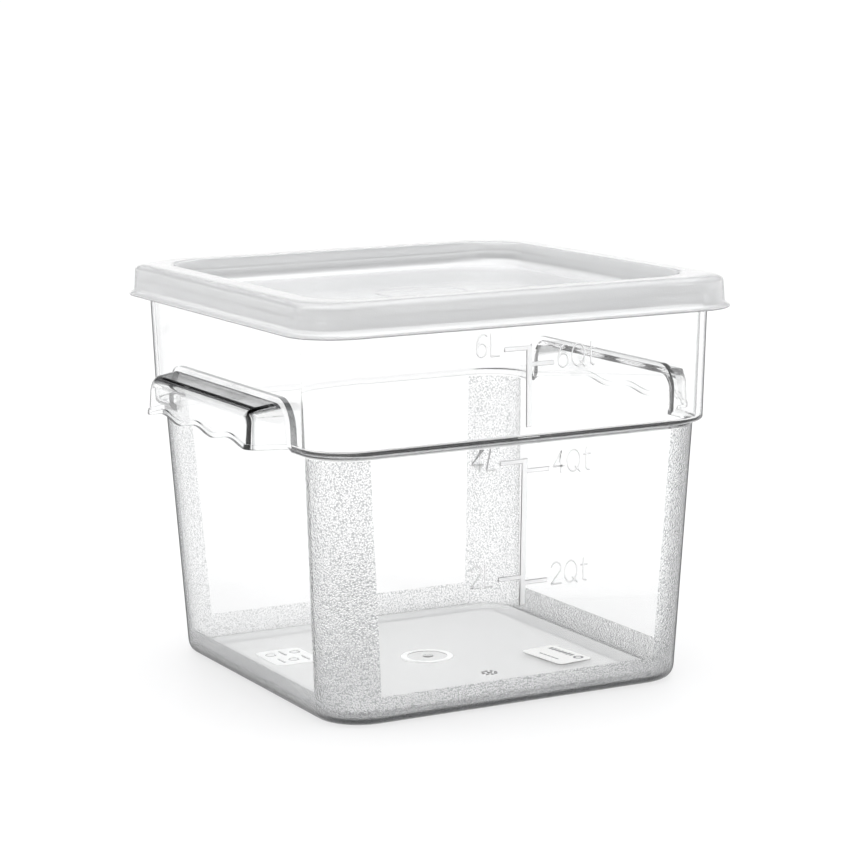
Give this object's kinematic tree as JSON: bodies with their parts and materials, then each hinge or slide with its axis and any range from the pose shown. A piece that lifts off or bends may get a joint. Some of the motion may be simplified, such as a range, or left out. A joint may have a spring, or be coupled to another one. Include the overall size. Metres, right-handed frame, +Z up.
{
  "type": "square food storage container",
  "caption": "Square clear plastic food storage container with a stepped wall, moulded grab handles on two sides and a milky lift-off lid with a stacking recess.",
  "frame": {"origin": "centre of the container's footprint, on the surface it stands on", "axes": "+X and -X towards the two grab handles, -Y out of the front wall with the graduation marks, +Z up"},
  "size_m": [0.24, 0.2268, 0.1949],
  "materials": {
    "clear_body": "clear polycarbonate, polished walls with fine stippled corners, base band and floor",
    "lid_plastic": "milky translucent polyethylene, satin",
    "label_paper": "white coated paper sticker"
  },
  "bodies": {
    "container": {"container_body": "clear_body", "label": "label_paper"},
    "lid": {"lid": "lid_plastic"}
  },
  "joints": [
    {"name": "lid_lift", "type": "slide", "parent": "container", "child": "lid", "axis": [0, 0, 1], "range_m": [0, 0.06]}
  ]
}
